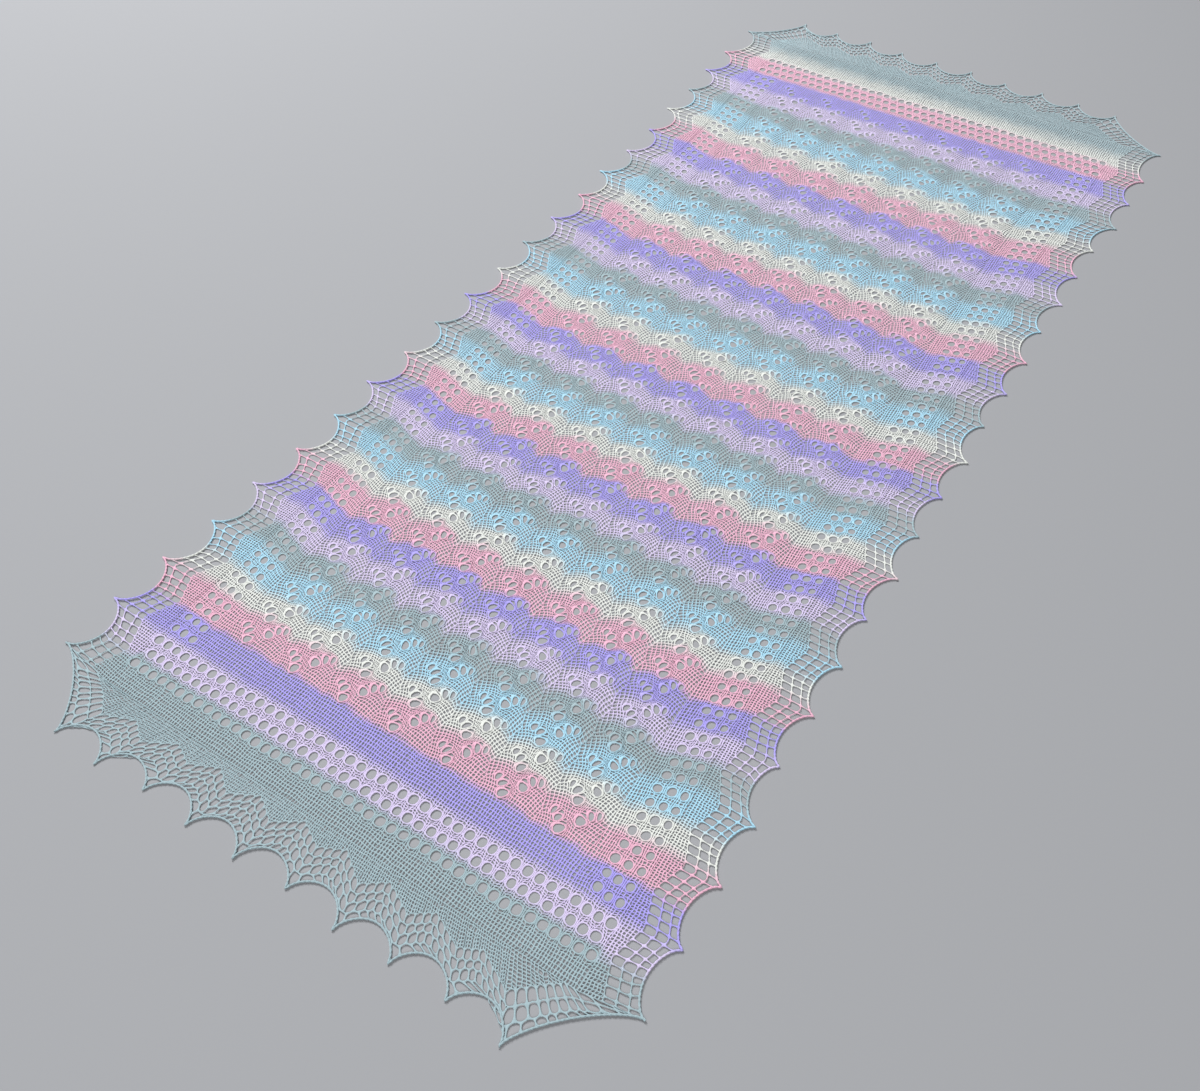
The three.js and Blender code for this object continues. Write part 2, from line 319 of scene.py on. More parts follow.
def divide(net, loops, steps):
    """Adds points along every strand of these loops, and gives them by the strand's ends."""
    between = {}
    shares = [n / steps for n in range(1, steps)]
    for a, b in edge_pairs(loops).tolist():
        along = [(values[a], values[b] - values[a]) for values in (net.x, net.y, net.dye)]
        between[a, b] = [net.point(*(start + more * share for start, more in along)) for share in shares]
    return between


def through(loop, between):
    """A loop with the added points of its divided strands."""
    full = []
    for a, b in zip(loop, loop[1:] + loop[:1]):
        full.append(a)
        full += between.get((a, b), ()) if a < b else reversed(between.get((b, a), ()))
    return full


def soft_noise(rows, wales, rounds=9):
    """Random numbers that change gently from stitch to stitch, with a spread of 1."""
    noise = rng.normal(0, 1, (rows, wales))
    for _ in range(rounds):
        noise = noise + sum(np.roll(noise, step, axis) for step in (-1, 1) for axis in (0, 1))
        noise /= noise.std()
    return noise.ravel()


def draw_in(x, share):
    """Narrows the stitches on the spines of the lace field and widens those between."""
    half = FIELD_REPEAT / 2
    spine = np.round(x / FIELD_REPEAT) * FIELD_REPEAT
    away = np.abs(x - spine) / half
    moved = spine + np.sign(x - spine) * half * away * (1 - SPINE_DRAW_IN * share * (1 - away))
    return np.where(np.abs(x) < FIELD_HALF, moved, x)


def relax(x, y, pairs, held, rounds=45, pull=0.5):
    """Lets each point settle towards the middle of its neighbours, as wet blocking does."""
    a = np.concatenate([pairs[:, 0], pairs[:, 1]])
    b = np.concatenate([pairs[:, 1], pairs[:, 0]])
    count = np.bincount(a, minlength=len(x)).clip(1)
    for _ in range(rounds):
        to_x = np.bincount(a, x[b], len(x)) / count
        to_y = np.bincount(a, y[b], len(x)) / count
        x = np.where(held, x, x + pull * (to_x - x))
        y = np.where(held, y, y + pull * (to_y - y))
    return x, y


def open_eyelets(x, y, eyelets):
    """Spreads the yarn round each eyelet, which pushes its neighbours and their middles aside."""
    eyelets = np.array(eyelets)
    x, y = np.concatenate([x, eyelets[:, 0]]), np.concatenate([y, eyelets[:, 1]])
    first = len(x) - len(eyelets)
    for _ in range(OPENING_PASSES):
        order = np.argsort(y)
        lows = np.searchsorted(y[order], y[first:] - OPENING_WINDOW)
        highs = np.searchsorted(y[order], y[first:] + OPENING_WINDOW)
        move_x, move_y = np.zeros(len(x)), np.zeros(len(x))
        for n, (low, high) in enumerate(zip(lows, highs)):
            near = order[low:high]
            near = near[np.abs(x[near] - x[first + n]) < OPENING_WINDOW]
            dx, dy = x[near] - x[first + n], y[near] - y[first + n]
            r = np.hypot(dx, dy) + 1e-6
            more = eyelets[n, 2] ** 2 / OPENING_PASSES * np.exp(-((r / OPENING_REACH) ** 2))
            grown = np.sqrt(r * r + more) / r - 1
            grown[near == first + n] = 0
            move_x[near] += dx * grown
            move_y[near] += dy * grown
        x, y = x + move_x, y + move_y
    return x[:first], y[:first]


# Body


def number(wale, row):
    return row * (STITCHES + 1) + wale


def wale_x(wale):
    marks = [0, FIELD_LEFT, FIELD_RIGHT, STITCHES]
    return np.interp(wale, marks, [-BODY_HALF, -FIELD_HALF, FIELD_HALF, BODY_HALF])


def body_pieces():
    """Nets of the body: the wales and rows that each spans and the node that it replaces."""
    left, right = FIELD_LEFT, FIELD_RIGHT
    near, far = NEAR_BORDER_ROWS, FAR_BORDER_START_ROW
    pieces = {
        "near_border_lace": {"wales": (0, STITCHES), "rows": (0, near), "node": "end_border_near"},
        "far_border_lace": {"wales": (0, STITCHES), "rows": (far, ROWS), "node": "end_border_far"},
        "left_border_lace": {"wales": (0, left), "rows": (near, far), "node": "side_border_left"},
        "right_border_lace": {"wales": (right, STITCHES), "rows": (near, far), "node": "side_border_right"},
    }
    each = (far - near) // CENTRE_PARTS
    for n in range(CENTRE_PARTS):
        rows = (near + n * each, near + (n + 1) * each)
        pieces[f"centre_lace_{n + 1}"] = {"wales": (left, right), "rows": rows, "node": "centre"}
    return pieces


def piece_at(pieces, wale, row):
    for name, part in pieces.items():
        if part["wales"][0] <= wale < part["wales"][1] and part["rows"][0] <= row < part["rows"][1]:
            return name
    raise ValueError((wale, row))


def border_eyelets():
    """Radius of each eyelet of the end bands and side columns, by its middle wale and its row."""
    found = {}
    for band in (NEAR_BAND_ROWS, FAR_BAND_ROWS):
        for n, row in enumerate(band):
            first = BAND_PITCH if n == 1 else BAND_PITCH // 2
            for wale in range(first, STITCHES - 1, BAND_PITCH):
                found[wale, row] = BAND_EYELET
    for row in range(COLUMN_FIRST_ROW, FAR_BORDER_START_ROW - 2, COLUMN_PITCH):
        for stitches, radius in zip(COLUMN_STITCHES, COLUMN_EYELETS):
            found[FIELD_LEFT - stitches, row] = radius
            found[FIELD_RIGHT + stitches, row] = radius
    return found


def group_at(row):
    """Side of the spines that a row of the lace field has its yarn-overs on, and what it makes there."""
    step = (row - FIELD_START_ROW) % FIELD_REPEAT_ROWS
    made = [over for over in YARN_OVERS if over["row"] == step % GROUP_ROWS]
    return (-1 if step < GROUP_ROWS else 1), (made[0] if made else None)


def field_openings(row):
    """Openings of a row of the lace field: kind, radius, bottom wales and top wales; and their way round."""
    way, over = group_at(row)
    half = REPEAT_STITCHES // 2
    yarn_over = over["stitch"] if over else half
    openings = []
    for spine in SPINES:
        for n in range(-half, half):
            a, b = spine + way * n, spine + way * (n + 1)
            if n < yarn_over:
                openings.append(("stitch", 0, (a, b), (b, a)))
            elif n < half - 1:
                openings.append(("stitch", 0, (a, b), (b + way, a + way)))
            else:
                openings.append(("stitch", 0, (a, b), (b,)))
        if over:
            at = spine + way * yarn_over
            openings.append(("eyelet", over["radius"], (at,), (at + way, at)))
    return openings, way


def body_openings(pieces, eyelets):
    """Every opening of the body: piece, kind, radius and its loop of points, anticlockwise."""
    found = []
    left, right = FIELD_LEFT, FIELD_RIGHT
    for row in range(ROWS):
        lace = FIELD_START_ROW <= row < FIELD_END_ROW
        part_of = {wale: piece_at(pieces, wale, row) for wale in (0, left, right)}
        if lace:
            openings, way = field_openings(row)
            for kind, radius, bottom, top in openings:
                loop = [number(w, row) for w in bottom] + [number(w, row + 1) for w in top]
                found.append((part_of[left], kind, radius, loop if way > 0 else loop[::-1]))
        wale = 0
        while wale < STITCHES:
            if lace and left <= wale < right:
                wale = right
                continue
            piece = part_of[right if wale >= right else left if wale >= left else 0]
            radius = eyelets.get((wale + 1, row), 0)
            width = 2 if radius else 1
            bottom = [number(wale + n, row) for n in range(width + 1)]
            top = [number(wale + n, row + 1) for n in range(width, -1, -1)]
            found.append((piece, "eyelet" if radius else "stitch", radius, bottom + top))
            wale += width
    return found


def small_eyelets(eyelets, x, y):
    """Small openings by the large ones: middles and radii."""
    found = []

    def add(places, radius):
        at = [number(wale, row) for wale, row in places if 0 <= row <= ROWS]
        found.append((x[at].mean(), y[at].mean(), radius))

    for wale, row in eyelets:
        if row < NEAR_BORDER_ROWS or row >= FAR_BORDER_START_ROW:
            add([(wale, row - 1), (wale, row)], SMALL_EYELET)
            add([(wale, row + 1), (wale, row + 2)], SMALL_EYELET)
        else:
            for side in (-1, 1):
                add([(wale, row + 2), (wale + side, row + 3)], COLUMN_SMALL_EYELET)
    for row in range(FIELD_START_ROW, FIELD_END_ROW):
        way, over = group_at(row)
        if over and over["above"]:
            for spine in SPINES:
                wale = spine + way * over["stitch"]
                add([(wale, row + 1), (wale + way, row + 2)], over["above"])
    return found


def body_net():
    net = Net()
    rows, wales = np.divmod(np.arange((STITCHES + 1) * (ROWS + 1)), STITCHES + 1)
    pieces = body_pieces()
    eyelets = border_eyelets()
    openings = body_openings(pieces, eyelets)
    held = np.isin(wales, (0, FIELD_LEFT, FIELD_RIGHT, STITCHES))
    held |= np.isin(rows, (0, NEAR_BORDER_ROWS, FAR_BORDER_START_ROW, ROWS))
    pairs = edge_pairs([loop for *_, loop in openings])
    x, y = relax(wale_x(wales), BODY_START_Y + rows * ROW, pairs, held)
    x = draw_in(x, bend_share(rows))
    stray = [WANDER * soft_noise(ROWS + 1, STITCHES + 1) + rng.normal(0, STRAY, len(x)) for _ in (0, 1)]
    x = x + np.where(held, 0, stray[0])
    y = y + np.where(held, 0, stray[1]) + row_lift(x, rows)
    x = body_x(x, y)
    net.x, net.y = x.tolist(), y.tolist()
    net.dye = dye_at(rows).tolist()
    eyelet_loops = [loop for _, kind, _, loop in openings if kind == "eyelet"]
    between = divide(net, [loop for loop in eyelet_loops if len(loop) > 3], 2)
    between |= divide(net, [loop for loop in eyelet_loops if len(loop) == 3], 3)
    centres = []
    for piece, kind, radius, loop in openings:
        if kind == "eyelet":
            centre = np.mean([net.x[p] for p in loop]), np.mean([net.y[p] for p in loop])
            centres.append((*centre, radius * rng.uniform(*EYELET_UNEVEN)))
        net.opening(piece, kind, through(loop, between))
    net.settle()
    centres += small_eyelets(eyelets, x, y)
    net.x, net.y = open_eyelets(net.x, net.y, centres)
    return net, pieces


# Edging


def stops_of_side(side):
    """Outer points of a side edging and the places on its seam that face them, clockwise round the body."""
    stops = []
    ends = {0: BODY_START_Y, SIDE_SCALLOPS: BODY_END_Y}
    for k in range(SIDE_SCALLOPS + 1):
        tip_x = side * (SIDE_TIP_X * TIP_WAISTS[k] + (0 if k in ends else uneven(k, side)))
        tip_y = side_tip_y(k)
        seam_y = ends.get(k, tip_y)
        seam_x = body_x(side * BODY_HALF, seam_y)
        stops.append({"tip": np.array([tip_x, tip_y]), "seam": np.array([seam_x, seam_y]), "corner": False})
    return stops if side < 0 else stops[::-1]


def stops_of_end(end):
    """The same for an end edging; end is -1 at the near end and 1 at the far end."""
    seam_y, corner_y, tip_y = (
        (BODY_START_Y, 0, NEAR_TIP_Y) if end < 0 else (BODY_END_Y, LAST_CORNER_Y, FAR_TIP_Y)
    )
    left, right = (
        {
            "tip": np.array([side * SIDE_TIP_X, corner_y]),
            "seam": np.array([BODY_X + side * BODY_HALF, seam_y]),
            "corner": True,
        }
        for side in (-1, 1)
    )
    inner = []
    for k in range(END_SCALLOPS + 1):
        x = END_TIPS_X + (k - END_SCALLOPS / 2) * END_PITCH
        tip = np.array([x, tip_y + uneven(k, 2 * end)])
        inner.append({"tip": tip, "seam": np.array([x * END_SEAM_SHRINK, seam_y]), "corner": False})
    stops = [left, *inner, right]
    return stops if end > 0 else stops[::-1]


def splay(t, share):
    """Moves a place along a scallop away from its points, so that the bars stand square to its curve."""
    clear_of_points = (1 - math.cos(4 * math.pi * t)) / 2
    return t + share * SPLAY * math.sin(2 * math.pi * t) * clear_of_points


def corner_seam(free, corner, t):
    if t < CORNER_TURN:
        return free["seam"] + (corner["seam"] - free["seam"]) * t / CORNER_TURN
    share = MITRE_REACH * (t - CORNER_TURN) / (1 - CORNER_TURN)
    return corner["seam"] + (corner["tip"] - corner["seam"]) * share


def seam_at(a, b, t):
    """Place on the seam that faces a place between two points."""
    if a["corner"]:
        return corner_seam(b, a, 1 - t)
    if b["corner"]:
        return corner_seam(a, b, t)
    return a["seam"] + (b["seam"] - a["seam"]) * t


def strand_depth(strand, midway, t):
    """Depth of a strand at a share t of the way from one point to the next."""
    from_point = min(t, 1 - t)
    share = math.sin(math.pi * from_point) ** ROUND_STRAND_POWER if strand["round"] else 2 * from_point
    return strand["at_point"] + (midway - strand["at_point"]) * share


def edging_columns(stops, depth, strands):
    """Lines across the edging: places on the outer line and on the seam, and depths of the strands."""
    columns = []
    for a, b in zip(stops, stops[1:]):
        along = b["tip"] - a["tip"]
        length = np.linalg.norm(along)
        inward = np.array([along[1], -along[0]]) / length
        in_corner = a["corner"] or b["corner"]
        deepest = CORNER_DEPTH if in_corner else depth
        pitch, narrowing = (CORNER_PITCH, CORNER_NARROWING) if in_corner else (MESH_PITCH, 1)
        steps = BAR_STEPS * round(length / pitch)
        for n in range(steps + (b is stops[-1])):
            t = n / steps
            line, seam = a["tip"] + along * t, seam_at(a, b, t)
            depths = [strand_depth(s, deepest + (s["midway"] - depth) * narrowing, t) for s in strands]
            if in_corner:
                joined = slice(CORNER_STRAND - 1, CORNER_STRAND + 1)
                depths[joined] = [sum(depths[joined]) / 2] * 2
            outer_t = splay(t, 1)
            outer_dip = math.sin(math.pi * min(outer_t, 1 - outer_t)) ** SCALLOP_POWER
            columns.append(
                {
                    "line": line,
                    "outer": a["tip"] + along * outer_t + inward * deepest * outer_dip,
                    "seam": seam,
                    "room": np.linalg.norm(seam - line),
                    "depths": depths,
                    "aside": [along * (splay(t, share) - t) for share in STRAND_SPLAY],
                    "in_corner": in_corner and n > 0,
                    "wale": n % (CORNER_STEPS if in_corner else PLAIN_STEPS) == 0,
                }
            )
    return columns


def point_between(net, start, end, share, aside, shade):
    x = net.x[start] + (net.x[end] - net.x[start]) * share + aside[0]
    y = net.y[start] + (net.y[end] - net.y[start]) * share + aside[1]
    return net.point(x, y, shade)


def place_strands(net, column, zigzags):
    """Points of a column on the outer line, on the seam and on each strand."""
    shade = column["shade"]
    lines = column["lines"] = [net.point(*column["outer"], shade)]
    column["seam_point"] = net.point(*column["seam"], shade)
    towards = (column["seam"] - column["line"]) / max(column["room"], 1e-6)
    inside = np.linalg.norm(column["outer"] - column["line"])
    deepest = column["depths"][-1]
    tight = column["room"] < deepest + LEAST_PLAIN
    squeeze = min(1, (column["room"] - inside) / (deepest - inside))
    innermost = len(column["depths"]) - 1
    for r, depth in enumerate(column["depths"]):
        if tight and r == innermost:
            lines.append(column["seam_point"])
        elif column["in_corner"] and r == CORNER_STRAND:
            lines.append(lines[-1])
        else:
            wanted = inside + (depth - inside) * squeeze - zigzags[r]
            wanted = max(wanted, inside + LEAST_CELL)
            at = column["line"] + towards * wanted + column["aside"][r] + rng.normal(0, STRAND_STRAY, 2)
            lines.append(net.point(*at, shade))


def place_plain(net, column):
    """Points of the plain knitting in a column, from the seam to the innermost strand."""
    start, end = column["seam_point"], column["lines"][-1]
    stitches = 1
    if column["wale"] and start != end:
        stitches = max(1, round((column["room"] - column["depths"][-1]) / PLAIN_STITCH))
    shares = [k / stitches for k in range(1, stitches)]
    strays = [rng.normal(0, PLAIN_STRAY, 2) for _ in shares]
    between = [point_between(net, start, end, *at, column["shade"]) for at in zip(shares, strays)]
    column["plain"] = [start, *between, end]


def mesh_bar(net, column, row):
    """Points of a bar between two strands of the mesh, from the inner strand to the outer one."""
    outer, inner = column["lines"][row], column["lines"][row + 1]
    if outer == inner:
        return []
    aside = rng.normal(0, BAR_STRAY, 2)
    return [point_between(net, inner, outer, share, aside, column["shade"]) for share in (1 / 3, 2 / 3)]


def open_plain(net, piece, columns):
    """Stitches between the seam and the mesh."""
    wales = [n for n, column in enumerate(columns) if column["wale"]]
    for start, end in zip(wales, wales[1:]):
        here, there = columns[start]["plain"], columns[end]["plain"]
        middle = [columns[n]["lines"][-1] for n in range(end - 1, start, -1)]
        shared = min(len(here), len(there)) - 1 - (len(here) == len(there))
        for k in range(shared):
            net.opening(piece, "stitch", [here[k], there[k], there[k + 1], here[k + 1]])
        if here[0] != here[-1] or there[0] != there[-1]:
            top = here[shared + 1:][::-1]
            net.opening(piece, "stitch", [here[shared], *there[shared:], *middle, *top])


def open_pick_up(net, columns):
    """Small uneven openings where the stitches of an end edging were picked up; its seam stays in place."""
    seam = sorted({column["seam_point"] for column in columns})
    seam_x, seam_y = net.x[seam], net.y[seam]
    low, high = seam_x.min(), seam_x.max()
    count = round((high - low) / PICK_UP_EYELETS["pitch"])
    outwards = np.sign(columns[len(columns) // 2]["line"][1] - seam_y.mean())
    at_x = np.linspace(low, high, count) + rng.normal(0, PICK_UP_EYELETS["stray"], count)
    shares = rng.uniform(*PICK_UP_EYELETS["depth_shares"], count)
    at_y = seam_y.mean() + outwards * PICK_UP_EYELETS["depth"] * shares
    radii = rng.uniform(*PICK_UP_EYELETS["radius"], count)
    net.x, net.y = open_eyelets(net.x, net.y, np.stack([at_x, at_y, radii], 1))
    net.x[seam], net.y[seam] = seam_x, seam_y


def edging_net(piece, edging):
    """Mesh of an edging in rows of openings between strands, with plain knitting between mesh and seam."""
    net = Net()
    columns = edging_columns(edging["stops"], edging["depth"], edging["strands"])
    staggered = edging["kind"] == "end mesh"
    half = BAR_STEPS // 2
    first_bars = [half, BAR_STEPS if staggered else half] * 2
    zigzag = MESH_ZIGZAG if staggered else 0
    for n, column in enumerate(columns):
        column["shade"] = edging["dye"](column["line"][1])
        zigzags = [zigzag * math.cos(2 * math.pi * (n - first) / BAR_STEPS) for first in first_bars]
        place_strands(net, column, zigzags)
        place_plain(net, column)
    last = len(columns) - 1
    for r in range(len(edging["strands"])):
        bars = [0, *range(first_bars[r], last, BAR_STEPS), last]
        rungs = {n: mesh_bar(net, columns[n], r) for n in bars}
        for start, end in zip(bars, bars[1:]):
            outer = [columns[n]["lines"][r] for n in range(end, start - 1, -1)]
            inner = [columns[n]["lines"][r + 1] for n in range(start, end + 1)]
            net.opening(piece, edging["kind"], inner + rungs[end] + outer + rungs[start][::-1])
    open_plain(net, piece, columns)
    net.settle()
    if staggered:
        open_pick_up(net, columns)
    return net, [column["outer"] for column in columns]


# Meshes

YARN_HALF_WIDTHS = {
    "stitch": (WALE_YARN, ROW_YARN),
    "eyelet": (EYELET_YARN, EYELET_YARN),
    "side mesh": (0.46, 0.32),
    "end mesh": (0.38, 0.46),
}
LARGEST_YARN_SHARE = 0.55  # of an opening's room
ROUNDING = {"stitch": 0, "eyelet": 2, "side mesh": 2, "end mesh": 3}  # how often corners are smoothed
SHARPEST_TURN = 0.3  # limits how far the border's lip reaches out at sharp corners
WAVE_HEIGHT = 0.3
WAVE_ACROSS = {"length": 61, "sway": 1.3, "sway_length": 97}
WAVE_ALONG = {"length": 74, "sway": 1.1, "sway_length": 83}

# Each corner of a plain stitch's rim as shares of the stitch's own four: one on each row, two on each wale
UP_THE_WALE = 0.16
STITCH_RIM = np.array(
    [
        [0.5, 0.5, 0, 0],
        [0, 1 - UP_THE_WALE, UP_THE_WALE, 0],
        [0, UP_THE_WALE, 1 - UP_THE_WALE, 0],
        [0, 0, 0.5, 0.5],
        [UP_THE_WALE, 0, 0, 1 - UP_THE_WALE],
        [1 - UP_THE_WALE, 0, 0, UP_THE_WALE],
    ]
)
STITCH_QUADS = [(0, 1, 5, 4), (1, 2, 6, 5), (2, 3, 8, 7), (3, 0, 9, 8)]  # corners 0 to 3, then the rim's
STITCH_TRIANGLES = [(2, 7, 6), (0, 4, 9)]


def yarn_widths(kind, count):
    return np.array(YARN_HALF_WIDTHS[kind]) * rng.uniform(*YARN_UNEVEN, (count, 1, 1))


def upright(points, loops):
    """Four-cornered loops that all start with a strand across the stole."""
    first = points[loops[:, 1]] - points[loops[:, 0]]
    along = np.abs(first[:, 1]) > np.abs(first[:, 0])
    return np.where(along[:, None], np.roll(loops, -1, 1), loops)


def stitch_rims(points, loops):
    """Rims of plain stitches, with upright sides between the wales."""
    rims = STITCH_RIM @ points[loops]
    middle = rims.mean(1, keepdims=True)
    arm = rims - middle
    half_sizes = np.abs(arm).max(1, keepdims=True)
    share = np.minimum(yarn_widths("stitch", len(loops)) / half_sizes, LARGEST_YARN_SHARE)
    return middle + arm * (1 - share)


def yarn_rims(points, loops, kind):
    """Rims of a group of openings that have the same number of points: half a yarn in from its ridge."""
    around = points[loops]
    middle = around.mean(1, keepdims=True)
    along = np.roll(around, -1, 1) - np.roll(around, 1, 1)
    inward = np.stack([-along[..., 1], along[..., 0]], 2)
    inward /= np.linalg.norm(inward, axis=2, keepdims=True) + 1e-9
    reach = (np.abs(inward) * yarn_widths(kind, len(loops))).sum(2, keepdims=True)
    room = ((middle - around) * inward).sum(2, keepdims=True)
    rims = around + inward * np.minimum(reach, LARGEST_YARN_SHARE * np.maximum(room, 0))
    for _ in range(ROUNDING[kind]):
        rims = (np.roll(rims, 1, 1) + 2 * rims + np.roll(rims, -1, 1)) / 4
    return rims


def lie_height(x, y):
    """Slight waves of cloth that lies on a flat surface."""
    height = 1
    for wave, run, side in ((WAVE_ACROSS, x, y), (WAVE_ALONG, y, x)):
        height = height * np.sin(run / wave["length"] + wave["sway"] * np.sin(side / wave["sway_length"]))
    return WAVE_HEIGHT * (1 + height)


def border_lip(points, loops):
    """Strands with an opening on one side only, and the way out from each of their points."""
    strands = {(a, b) for loop in loops for a, b in zip(loop, loop[1:] + loop[:1])}
    border = np.array([pair for pair in sorted(strands) if pair[::-1] not in strands])
    along = points[border[:, 1]] - points[border[:, 0]]
    out = np.stack([along[:, 1], -along[:, 0]], 1)
    out /= np.linalg.norm(out, axis=1, keepdims=True) + 1e-9
    way_out = np.zeros_like(points)
    np.add.at(way_out, border[:, 0], out)
    np.add.at(way_out, border[:, 1], out)
    ends = np.unique(border)
    length = np.linalg.norm(way_out[ends], axis=1, keepdims=True)
    return border, ends, way_out[ends] / np.maximum(length, SHARPEST_TURN)


def net_piece(name, net, kinds):
    """Object of one piece of a net: its yarn slopes from the ridge between openings down to their rims."""
    flat = np.stack([net.x, net.y], 1)
    used = np.unique(np.concatenate([np.concatenate(group) for group in kinds.values()]))
    local = np.full(len(flat), -1)
    local[used] = np.arange(len(used))
    xy, dye = [flat[used]], [net.dye[used]]
    # side is 0 on the ridge and 1 at the rims; the wool finish darkens the colour by it as painted shade
    high, side = [np.full(len(used), RIDGE)], [np.zeros(len(used))]
    faces = []
    total = len(used)
    for kind, loops in kinds.items():
        for size in sorted({len(loop) for loop in loops}):
            group = np.array([loop for loop in loops if len(loop) == size])
            plain = kind == "stitch" and size == 4
            if plain:
                group = upright(flat, group)
            rims = stitch_rims(flat, group) if plain else yarn_rims(flat, group, kind)
            outer = local[group]
            inner = total + np.arange(rims.size // 2).reshape(len(group), -1)
            total += inner.size
            if plain:
                both = np.concatenate([outer, inner], 1)
                faces += [both[:, pattern] for pattern in STITCH_QUADS + STITCH_TRIANGLES]
                dye.append((net.dye[group] @ STITCH_RIM.T).ravel())
            else:
                quads = [outer, np.roll(outer, -1, 1), np.roll(inner, -1, 1), inner]
                faces.append(np.stack(quads, 2).reshape(-1, 4))
                dye.append(net.dye[group].ravel())
            xy.append(rims.reshape(-1, 2))
            high.append(np.full(inner.size, RIMS[kind]))
            side.append(np.ones(inner.size))
    border, ends, way_out = border_lip(flat, [loop for loops in kinds.values() for loop in loops])
    lip = np.full(len(flat), -1)
    lip[ends] = total + np.arange(len(ends))
    start, end = border.T
    faces.append(np.stack([local[end], local[start], lip[start], lip[end]], 1))
    xy.append(flat[ends] + LIP * way_out)
    dye.append(net.dye[ends])
    high.append(np.full(len(ends), LIP_HEIGHT))
    side.append(np.ones(len(ends)))
    xy, dye, high, side = (np.concatenate(v) for v in (xy, dye, high, side))
    z = high + lie_height(xy[:, 0], xy[:, 1])
    return mesh_piece(name, to_part(xy[:, 0], xy[:, 1], z), faces, dye, side)


def mesh_piece(name, corners, faces, dye, side):
    """Object of a mesh, with the dye and the place across the yarn at each point, which the wool uses for
    painted shade, and a map in plan.
    """
    mesh = bpy.data.meshes.new(name)
    mesh.from_pydata(corners.tolist(), [], [face for group in faces for face in group.tolist()])
    for key, values in (("dye", dye), ("side", side)):
        mesh.attributes.new(key, "FLOAT", "POINT").data.foreach_set("value", values.astype(np.float32))
    low, high = corners.min(0), corners.max(0)
    plan = (corners[:, :2] - low[:2]) / (high - low)[:2].max()
    layer = mesh.uv_layers.new(name="OFBake")
    at = np.concatenate([group.ravel() for group in faces])
    layer.uv.foreach_set("vector", plan[at].astype(np.float32).ravel())
    mesh.shade_smooth()
    piece = bpy.data.objects.new(name, mesh)
    bpy.context.scene.collection.objects.link(piece)
    return piece


def covered_area(pieces):
    """Area that the yarn covers, seen from above and without the openings, in square metres."""
    total = 0
    for piece in pieces:
        count = len(piece.data.polygons)
        area, normal = np.empty(count), np.empty(count * 3)
        piece.data.polygons.foreach_get("area", area)
        piece.data.polygons.foreach_get("normal", normal)
        total += (area * np.clip(normal.reshape(-1, 3)[:, 2], 0, 1)).sum()
    return float(total)


# Edge cord

CORD_SIDES = 6
CORD_SPACING = 1.9  # from one ring of its mesh to the next
CORD_MIDDLE = 1.15 * CORD_RADIUS  # height of the cord's middle
PLY_TURN = 9.0  # length in which the two plies of the edge cord go once round each other
PLY_RADIUS = 0.85 * CORD_RADIUS
PLY_ASIDE = 0.4 * CORD_RADIUS
PLY_RISE = 0.25 * CORD_RADIUS


def edge_cord(name, path, dye):
    """Cord of two yarns laid round each other along the outer line of an edging."""
    path = np.array(path)
    run = np.concatenate([[0], np.cumsum(np.linalg.norm(np.diff(path, axis=0), axis=1))])
    count = round(run[-1] / CORD_SPACING)
    at = np.linspace(0, run[-1], count + 1)
    line = np.stack([np.interp(at, run, path[:, 0]), np.interp(at, run, path[:, 1])], 1)
    line[1:-1] = (line[:-2] + 2 * line[1:-1] + line[2:]) / 4
    along = np.gradient(line, axis=0)
    along /= np.linalg.norm(along, axis=1, keepdims=True)
    angles = np.arange(CORD_SIDES) * 2 * math.pi / CORD_SIDES
    corners, faces, shades = [], [], []
    for ply in (0, 1):
        phase = (2 * math.pi * at / PLY_TURN + math.pi * ply)[:, None]
        off = PLY_ASIDE * np.cos(phase) + PLY_RADIUS * np.cos(angles)
        rise = PLY_RISE * np.sin(phase) + PLY_RADIUS * np.sin(angles)
        x = line[:, :1] - off * along[:, 1:]
        y = line[:, 1:] + off * along[:, :1]
        z = rise + CORD_MIDDLE + lie_height(x, y)
        corners.append(to_part(x.ravel(), y.ravel(), z.ravel()))
        ids = ply * x.size + np.arange(x.size).reshape(x.shape)
        here, there = ids[:-1], ids[1:]
        quads = [here, np.roll(here, -1, 1), np.roll(there, -1, 1), there]
        faces.append(np.stack(quads, 2).reshape(-1, 4)[:, ::-1])
        shades.append(np.repeat(dye(line[:, 1]), CORD_SIDES))
    shades = np.concatenate(shades)
    # side is 1 at each ply's flanks; the wool finish darkens the colour there as painted shade
    side = np.tile(np.abs(np.cos(angles)), len(shades) // CORD_SIDES)
    return mesh_piece(name, np.concatenate(corners), faces, shades, side)


# Finishes


class Shade:
    """A shader value; maths on it adds Math nodes to its finish."""

    def __init__(self, finish, socket):
        self.finish, self.socket = finish, socket

    def maths(self, operation, *values):
        return self.finish.node("ShaderNodeMath", {"operation": operation}, dict(enumerate(values)))

    def __add__(self, other):
        return self.maths("ADD", self, other)

    def __radd__(self, other):
        return self.maths("ADD", other, self)

    def __sub__(self, other):
        return self.maths("SUBTRACT", self, other)

    def __rsub__(self, other):
        return self.maths("SUBTRACT", other, self)

    def __mul__(self, other):
        return self.maths("MULTIPLY", self, other)

    def __rmul__(self, other):
        return self.maths("MULTIPLY", other, self)

    def part(self):
        return self.maths("FRACT", self)


